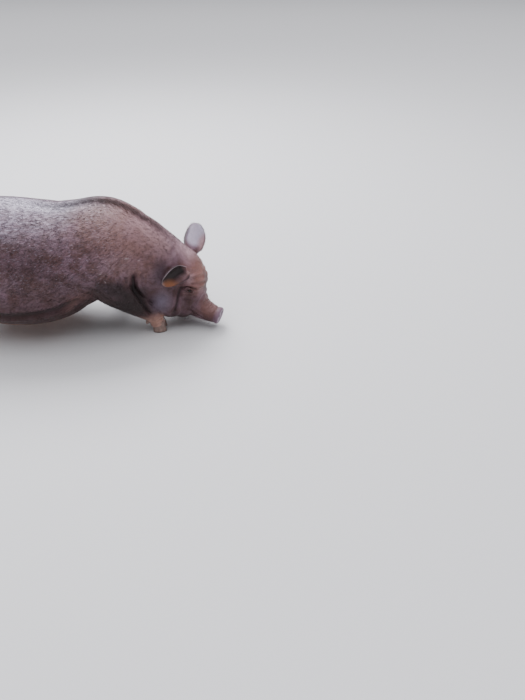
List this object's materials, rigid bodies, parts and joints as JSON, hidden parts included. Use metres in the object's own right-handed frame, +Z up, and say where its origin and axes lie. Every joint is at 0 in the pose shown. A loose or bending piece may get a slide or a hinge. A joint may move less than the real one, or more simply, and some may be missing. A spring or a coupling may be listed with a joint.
{
  "type": "pot bellied pig, still life-size model",
  "caption": "A grown pot bellied sow standing square with her nose to the ground, head turned to her right: a still, life-size figure that stands on its claws.",
  "frame": {"origin": "on the floor, under the middle of the bounding box", "axes": "+X from tail to nose, +Y to the sow's left, +Z up; the floor is Z = 0"},
  "size_m": [1.1586, 0.4849, 0.5407],
  "materials": {
    "skin": "dull dark grey-brown hide with fine bristles",
    "claw horn": "worn horn, pale and slightly glossy",
    "eye": "wet, near black"
  },
  "bodies": {
    "root": {"torso": "skin", "neck": "skin", "head": "skin", "ear_right": "skin", "ear_left": "skin", "tail": "skin", "foreleg_right": "skin", "foreleg_left": "skin", "hindleg_right": "skin", "hindleg_left": "skin", "foreclaw_right_outer": "claw horn", "foreclaw_right_inner": "claw horn", "foreclaw_left_outer": "claw horn", "foreclaw_left_inner": "claw horn", "foredewclaw_right_outer": "claw horn", "foredewclaw_right_inner": "claw horn", "foredewclaw_left_outer": "claw horn", "foredewclaw_left_inner": "claw horn", "hindclaw_right_outer": "claw horn", "hindclaw_right_inner": "claw horn", "hindclaw_left_outer": "claw horn", "hindclaw_left_inner": "claw horn", "hinddewclaw_right_outer": "claw horn", "hinddewclaw_right_inner": "claw horn", "hinddewclaw_left_outer": "claw horn", "hinddewclaw_left_inner": "claw horn", "eye_right": "eye", "eye_left": "eye"}
  },
  "joints": []
}
